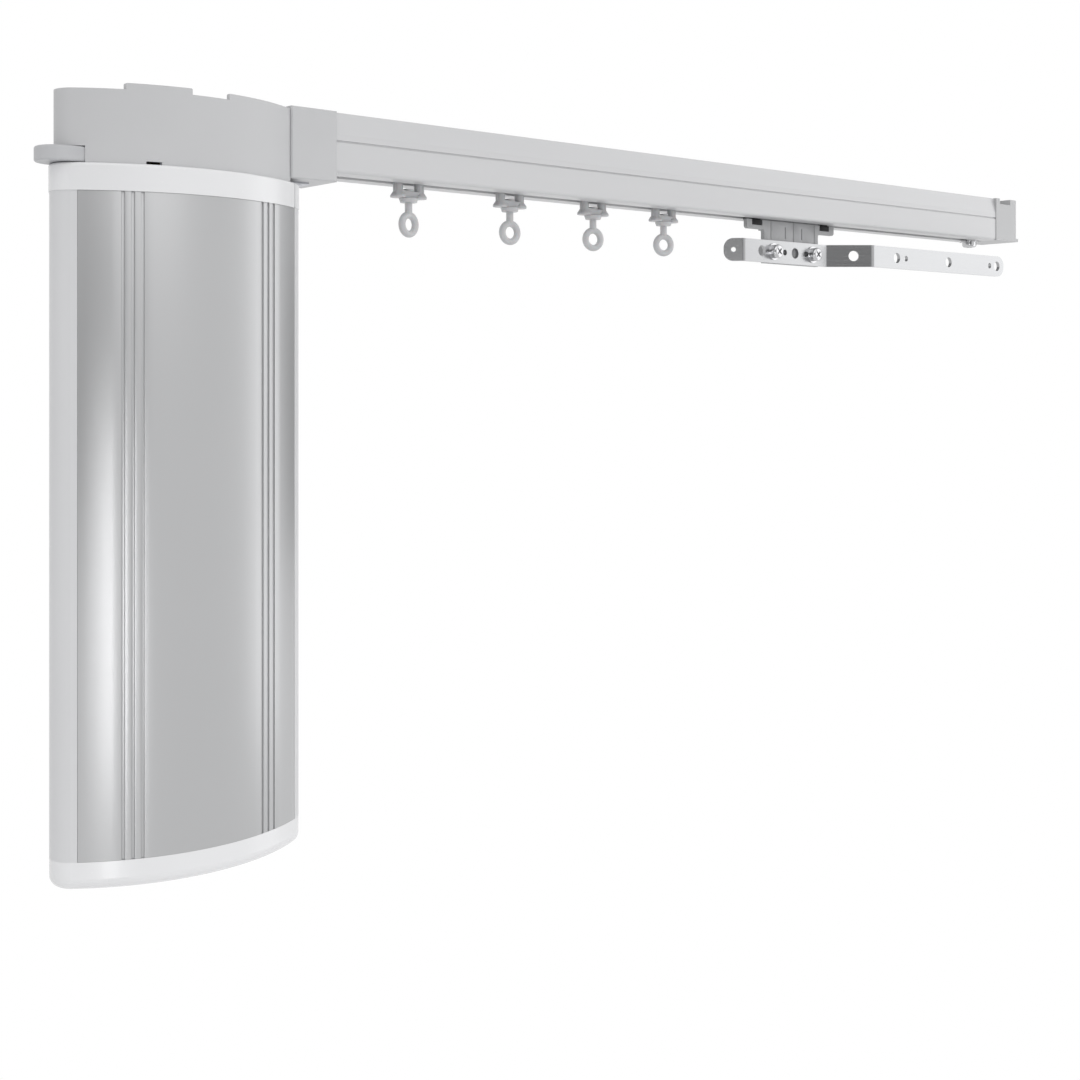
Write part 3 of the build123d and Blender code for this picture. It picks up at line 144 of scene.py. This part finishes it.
# finishes, one dictionary each: depths are in metres, scales in repeats of the noise per metre
looks = {
    "trackPaint": {  # satin white paint on drawn aluminium, faint die lines along the rail
        "color": (0.605, 0.607, 0.617), "roughness": 0.38, "driftScale": 9.0, "driftAmount": 0.015,
        "stretch": (0.4, 3, 3), "grainStretch": (0.02, 1, 1), "grainScale": 900.0,
        "glossSpread": 0.05, "bumpStrength": 0.25, "bumpDepth": 0.00004,
    },
    "gearboxPlastic": {  # light grey moulded cover, spark-eroded grain
        "color": (0.54, 0.543, 0.553), "roughness": 0.46, "driftScale": 14.0, "driftAmount": 0.02,
        "grainScale": 1600.0, "glossSpread": 0.06, "bumpStrength": 0.3, "bumpDepth": 0.00005,
    },
    "couplerPlastic": {
        "color": (0.545, 0.548, 0.558), "roughness": 0.42, "driftScale": 20.0, "driftAmount": 0.02,
        "grainScale": 1500.0, "glossSpread": 0.05, "bumpStrength": 0.25, "bumpDepth": 0.00004,
    },
    "endCapPlastic": {
        "color": (0.46, 0.463, 0.47), "roughness": 0.4, "driftScale": 20.0, "driftAmount": 0.02,
        "grainScale": 1500.0, "glossSpread": 0.05, "bumpStrength": 0.25, "bumpDepth": 0.00004,
    },
    "whiteGloss": {  # collar and bottom cap
        "color": (0.78, 0.783, 0.795), "roughness": 0.26, "driftScale": 10.0, "driftAmount": 0.01,
        "grainScale": 1200.0, "glossSpread": 0.04, "bumpStrength": 0.15, "bumpDepth": 0.00003,
        "sockets": {"Coat Weight": 0.2, "Coat Roughness": 0.15},
    },
    "silverPaint": {  # front panel: fine metallic flake under a satin coat
        "color": (0.465, 0.468, 0.475), "roughness": 0.33, "metallic": 0.55, "driftScale": 6.0,
        "driftAmount": 0.012, "grainScale": 2600.0, "glossSpread": 0.06, "bumpStrength": 0.2,
        "bumpDepth": 0.00003, "sockets": {"Coat Weight": 0.15, "Coat Roughness": 0.25},
    },
    "shellPlastic": {
        "color": (0.66, 0.663, 0.675), "roughness": 0.32, "driftScale": 8.0, "driftAmount": 0.015,
        "grainScale": 1200.0, "glossSpread": 0.04, "bumpStrength": 0.15, "bumpDepth": 0.00003,
    },
    "carrierPlastic": {
        "color": (0.37, 0.373, 0.382), "roughness": 0.44, "driftScale": 25.0, "driftAmount": 0.03,
        "grainScale": 1600.0, "glossSpread": 0.06, "bumpStrength": 0.3, "bumpDepth": 0.00005,
    },
    "leverPlastic": {
        "color": (0.50, 0.505, 0.52), "roughness": 0.42, "driftScale": 25.0, "driftAmount": 0.03,
        "grainScale": 1600.0, "glossSpread": 0.05, "bumpStrength": 0.25, "bumpDepth": 0.00004,
    },
    "blackNylon": {
        "color": (0.012, 0.012, 0.014), "roughness": 0.5, "driftScale": 25.0, "driftAmount": 0.2,
        "grainScale": 1800.0, "glossSpread": 0.08, "bumpStrength": 0.3, "bumpDepth": 0.00005,
        "sockets": {"Specular IOR Level": 0.2},
    },
    "armSteel": {  # satin steel strip, brushed along its length
        "color": (0.40, 0.403, 0.41), "roughness": 0.26, "metallic": 1.0, "driftScale": 12.0,
        "driftAmount": 0.03, "grainStretch": (0.02, 0.02, 1), "grainScale": 1400.0, "glossSpread": 0.04,
        "bumpStrength": 0.1, "bumpDepth": 0.00003,
    },
    "whiteNylon": {  # gliders and wheels: slightly translucent moulded nylon
        "color": (0.52, 0.523, 0.535), "roughness": 0.34, "driftScale": 40.0, "driftAmount": 0.02,
        "grainScale": 1400.0, "glossSpread": 0.05, "bumpStrength": 0.15, "bumpDepth": 0.00003,
        "sockets": {"Subsurface Weight": 0.08, "Subsurface Scale": 0.001},
    },
    "nickelPlate": {
        "color": (0.52, 0.52, 0.53), "roughness": 0.2, "metallic": 1.0, "driftScale": 60.0,
        "driftAmount": 0.04, "grainScale": 2200.0, "glossSpread": 0.06, "bumpStrength": 0.15,
        "bumpDepth": 0.00002,
    },
    "zincPlate": {
        "color": (0.56, 0.57, 0.60), "roughness": 0.34, "metallic": 1.0, "driftScale": 50.0,
        "driftAmount": 0.06, "grainScale": 1800.0, "glossSpread": 0.08, "bumpStrength": 0.2,
        "bumpDepth": 0.00003,
    },
    "groundSteel": {
        "color": (0.62, 0.62, 0.64), "roughness": 0.22, "metallic": 1.0, "driftScale": 50.0,
        "driftAmount": 0.03, "grainStretch": (1, 1, 12), "grainScale": 600.0, "glossSpread": 0.06,
        "bumpStrength": 0.15, "bumpDepth": 0.00002,
    },
    "drawnSteel": {
        "color": (0.34, 0.35, 0.37), "roughness": 0.36, "metallic": 1.0, "driftScale": 20.0,
        "driftAmount": 0.05, "grainStretch": (1, 1, 0.05), "grainScale": 900.0, "glossSpread": 0.08,
        "bumpStrength": 0.2, "bumpDepth": 0.00003,
    },
    "cutBrass": {
        "color": (0.62, 0.42, 0.14), "roughness": 0.3, "metallic": 1.0, "driftScale": 60.0,
        "driftAmount": 0.08, "grainScale": 1500.0, "glossSpread": 0.08, "bumpStrength": 0.2,
        "bumpDepth": 0.00003,
    },
    "pulleyPlastic": {
        "color": (0.26, 0.265, 0.275), "roughness": 0.45, "driftScale": 40.0, "driftAmount": 0.04,
        "grainScale": 1500.0, "glossSpread": 0.06, "bumpStrength": 0.2, "bumpDepth": 0.00004,
    },
    "beltRubber": {
        "color": (0.018, 0.018, 0.02), "roughness": 0.62, "driftScale": 30.0, "driftAmount": 0.2,
        "grainScale": 2400.0, "glossSpread": 0.1, "bumpStrength": 0.4, "bumpDepth": 0.00006,
    },
    "greenMask": {
        "color": (0.01, 0.12, 0.035), "roughness": 0.3, "driftScale": 60.0, "driftAmount": 0.2,
        "grainScale": 900.0, "glossSpread": 0.06, "bumpStrength": 0.2, "bumpDepth": 0.00004,
    },
}
finishes = {name: grainedFinish(name, look) for name, look in looks.items()}
print("finishes made:", len(finishes))

# which finish each part of the track wears
wears = {
    "rail": "trackPaint", "gearbox_housing": "gearboxPlastic", "coupler_sleeve": "couplerPlastic",
    "coupler_latch": "zincPlate", "lock_lever": "leverPlastic", "lever_pin": "zincPlate",
    "motor_collar": "whiteGloss", "bottom_cap": "whiteGloss", "front_panel": "silverPaint",
    "rear_shell": "shellPlastic", "power_inlet": "blackNylon", "control_socket": "blackNylon",
    "idler_housing": "endCapPlastic", "idler_screw": "nickelPlate", "idler_axle": "groundSteel",
    "drive_belt": "beltRubber", "drive_pulley": "pulleyPlastic", "idler_pulley": "pulleyPlastic",
    "drive_shaft": "groundSteel", "drive_bearings": "groundSteel", "drive_gear": "cutBrass",
    "motor_pinion": "cutBrass", "gearbox_base": "blackNylon", "gearbox_midplate": "blackNylon",
    "tie_screws": "zincPlate", "motor_mount": "zincPlate", "gearhead_case": "zincPlate",
    "motor_can": "drawnSteel", "motor_screws": "zincPlate", "circuit_board": "greenMask",
    "board_screws": "zincPlate", "power_module": "blackNylon", "carrier_body": "carrierPlastic",
    "belt_clamps": "blackNylon", "carrier_axles": "groundSteel", "carrier_arm": "armSteel",
    "arm_screws": "nickelPlate", "arm_washers": "nickelPlate",
}
for name, node in nodes.items():
    if name in wears:
        finish = wears[name]
    elif name.endswith("_axles"):
        finish = "groundSteel"
    else:
        finish = "whiteNylon"
    for slot in node.material_slots:
        slot.material = finishes[finish]
print("finishes put on")

# sharp edges get a small round, on copies that stand for their nodes
mm = 0.001
edgeRounds = {  # in millimetres
    "carrier_body": 0.3, "belt_clamps": 0.25, "front_panel": 0.15, "coupler_latch": 0.15,
    **{f"glider_{number}_body": 0.25 for number in range(1, 5)},
}
edgeCut = {"segments": 3, "sharpOver": math.radians(40), "smoothUnder": math.radians(35),
           "flatUnder": math.radians(1), "merge": 0.005 * mm}
bodyOf = {name: body for body, group in frame["record"]["behaviour"]["bodies"].items() for name in group}
for name, width in edgeRounds.items():
    source = nodes[name]
    piece = bpy.data.objects.new(name + "_rounded", source.data.copy())
    scene.collection.objects.link(piece)
    piece.data.materials.clear()
    piece.data.materials.append(source.material_slots[0].material)
    bpy.ops.object.select_all(action="DESELECT")
    bpy.context.view_layer.objects.active = piece
    piece.select_set(True)
    bpy.ops.object.mode_set(mode="EDIT")
    bpy.ops.mesh.select_all(action="SELECT")
    bpy.ops.mesh.remove_doubles(threshold=edgeCut["merge"])
    bpy.ops.mesh.dissolve_limited(angle_limit=edgeCut["flatUnder"])
    bpy.ops.object.mode_set(mode="OBJECT")
    edge = piece.modifiers.new("edgeRound", "BEVEL")
    edge.width = width * mm
    edge.segments = edgeCut["segments"]
    edge.limit_method = "ANGLE"
    edge.angle_limit = edgeCut["sharpOver"]
    edge.use_clamp_overlap = False
    bpy.ops.object.modifier_apply(modifier=edge.name)
    bpy.ops.object.shade_smooth_by_angle(angle=edgeCut["smoothUnder"])
    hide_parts(name)
    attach(piece, bodyOf[name])
print("edges rounded:", len(edgeRounds))

# a white floor that shows white and still takes the shadow
floorLook = {"drop": 0.42, "size": 9.0, "color": (0.8, 0.8, 0.8)}


def whiteToCamera(name, color):
    mat = bpy.data.materials.new(name)
    mat.use_nodes = True
    tree = mat.node_tree
    tree.nodes.clear()
    out = tree.nodes.new("ShaderNodeOutputMaterial")
    mix = tree.nodes.new("ShaderNodeMixShader")
    diffuse = tree.nodes.new("ShaderNodeBsdfDiffuse")
    diffuse.inputs["Color"].default_value = (*color, 1)
    glow = tree.nodes.new("ShaderNodeEmission")
    rays = tree.nodes.new("ShaderNodeLightPath")
    seen = tree.nodes.new("ShaderNodeMath")
    seen.operation = "MAXIMUM"
    tree.links.new(rays.outputs["Is Camera Ray"], seen.inputs[0])
    tree.links.new(rays.outputs["Is Glossy Ray"], seen.inputs[1])
    tree.links.new(seen.outputs["Value"], mix.inputs["Fac"])
    tree.links.new(diffuse.outputs["BSDF"], mix.inputs[1])
    tree.links.new(glow.outputs["Emission"], mix.inputs[2])
    tree.links.new(mix.outputs["Shader"], out.inputs["Surface"])
    return mat


floorZ = cadBox[0][2] - floorLook["drop"]
bpy.ops.mesh.primitive_plane_add(size=floorLook["size"], location=(0, 0, floorZ))
floor = bpy.context.object
floor.name = "floor"
floor.data.materials.append(whiteToCamera("floorWhite", floorLook["color"]))

# bright all round, darker behind the camera and past the track's far end, white where it is seen
roomLight = {
    "color": (1, 1, 1, 1), "bright": 0.8, "dark": 0.2, "seen": 1.0,
    "darkSides": [  # where it lies, and how squarely a ray faces it where the dark starts and is full
        {"towards": (-0.6468, -0.7627, 0), "start": 0.80, "full": 0.97},
        {"towards": (0.995, 0.1, 0), "start": 0.90, "full": 0.985},
    ],
}
world = bpy.data.worlds.new("studio")
scene.world = world
world.use_nodes = True
worldTree = world.node_tree
background = worldTree.nodes["Background"]
background.inputs["Color"].default_value = roomLight["color"]
heading = worldTree.nodes.new("ShaderNodeTexCoord")


def worldMath(operation, first, second):
    node = worldTree.nodes.new("ShaderNodeMath")
    node.operation = operation
    for socket, value in zip(node.inputs, (first, second)):
        if isinstance(value, float):
            socket.default_value = value
        else:
            worldTree.links.new(value, socket)
    return node.outputs["Value"]


darkness = 0.0
for side in roomLight["darkSides"]:
    facing = worldTree.nodes.new("ShaderNodeVectorMath")
    facing.operation = "DOT_PRODUCT"
    facing.inputs[1].default_value = side["towards"]
    worldTree.links.new(heading.outputs["Generated"], facing.inputs[0])
    fade = worldTree.nodes.new("ShaderNodeMapRange")
    fade.interpolation_type = "SMOOTHSTEP"
    fade.inputs["From Min"].default_value = side["start"]
    fade.inputs["From Max"].default_value = side["full"]
    worldTree.links.new(facing.outputs["Value"], fade.inputs["Value"])
    darkness = worldMath("MAXIMUM", fade.outputs["Result"], darkness)
rays = worldTree.nodes.new("ShaderNodeLightPath")
litGloss = worldMath("MULTIPLY", rays.outputs["Is Glossy Ray"], worldMath("SUBTRACT", 1.0, darkness))
direct = worldMath("MAXIMUM", rays.outputs["Is Camera Ray"], rays.outputs["Is Transmission Ray"])
white = worldMath("MAXIMUM", direct, litGloss)
dimmed = spread(worldTree, darkness, roomLight["bright"], roomLight["dark"])
level = worldTree.nodes.new("ShaderNodeMapRange")
worldTree.links.new(white, level.inputs["Value"])
worldTree.links.new(dimmed.outputs["Result"], level.inputs["To Min"])
level.inputs["To Max"].default_value = roomLight["seen"]
worldTree.links.new(level.outputs["Result"], background.inputs["Strength"])

# a tall strip and a soft panel give the bands on the motor's front and the rail's bright end
lamps = {  # places and sizes in metres, powers in watts
    "stripLeft": {
        "at": (-0.80, -0.88, -0.42), "aim": (-0.33, -0.02, -0.42), "size": (0.12, 0.7), "power": 1.75,
    },
    "softRight": {
        "at": (0.73, -0.38, -0.05), "aim": (-0.1, 0, -0.1), "size": (0.46, 1.2), "power": 1.9,
    },
    "keyAbove": {
        "at": (-0.5, -1.5, 1.2), "aim": (-0.1, 0, -0.1), "size": (1.6, 1.6), "power": 7.2,
    },
}
for name, lamp in lamps.items():
    bpy.ops.object.light_add(type="AREA", location=lamp["at"])
    light = bpy.context.object
    light.name = name
    light.data.shape = "RECTANGLE"
    light.data.size, light.data.size_y = lamp["size"]
    light.data.energy = lamp["power"]
    alongX, alongY, alongZ = [goal - start for goal, start in zip(lamp["aim"], lamp["at"])]
    tilt = math.atan2(math.hypot(alongX, alongY), -alongZ)
    turn = math.atan2(alongY, alongX) - math.pi / 2
    light.rotation_euler = (tilt, 0, turn)
print("room and lamps set")

# a level camera, turned towards the far end of the track
view = {
    "at": (-0.6065, -0.5878, -0.1167), "turn": -40.3, "upright": 90, "photoSize": 1080.0,
    "focalPx": 1600.0, "horizonY": 386.0, "sensor": 36.0, "nearest": 0.01, "farthest": 50,
}
cameraTurn = (math.radians(view["upright"]), 0, math.radians(view["turn"]))
bpy.ops.object.camera_add(location=view["at"], rotation=cameraTurn)
camera = bpy.context.object
camera.data.sensor_width = view["sensor"]
camera.data.lens = view["sensor"] * view["focalPx"] / view["photoSize"]
camera.data.shift_y = (view["horizonY"] - view["photoSize"] / 2) / view["photoSize"]
camera.data.clip_start = view["nearest"]
camera.data.clip_end = view["farthest"]
scene.camera = camera
scene.view_settings.view_transform = "Standard"
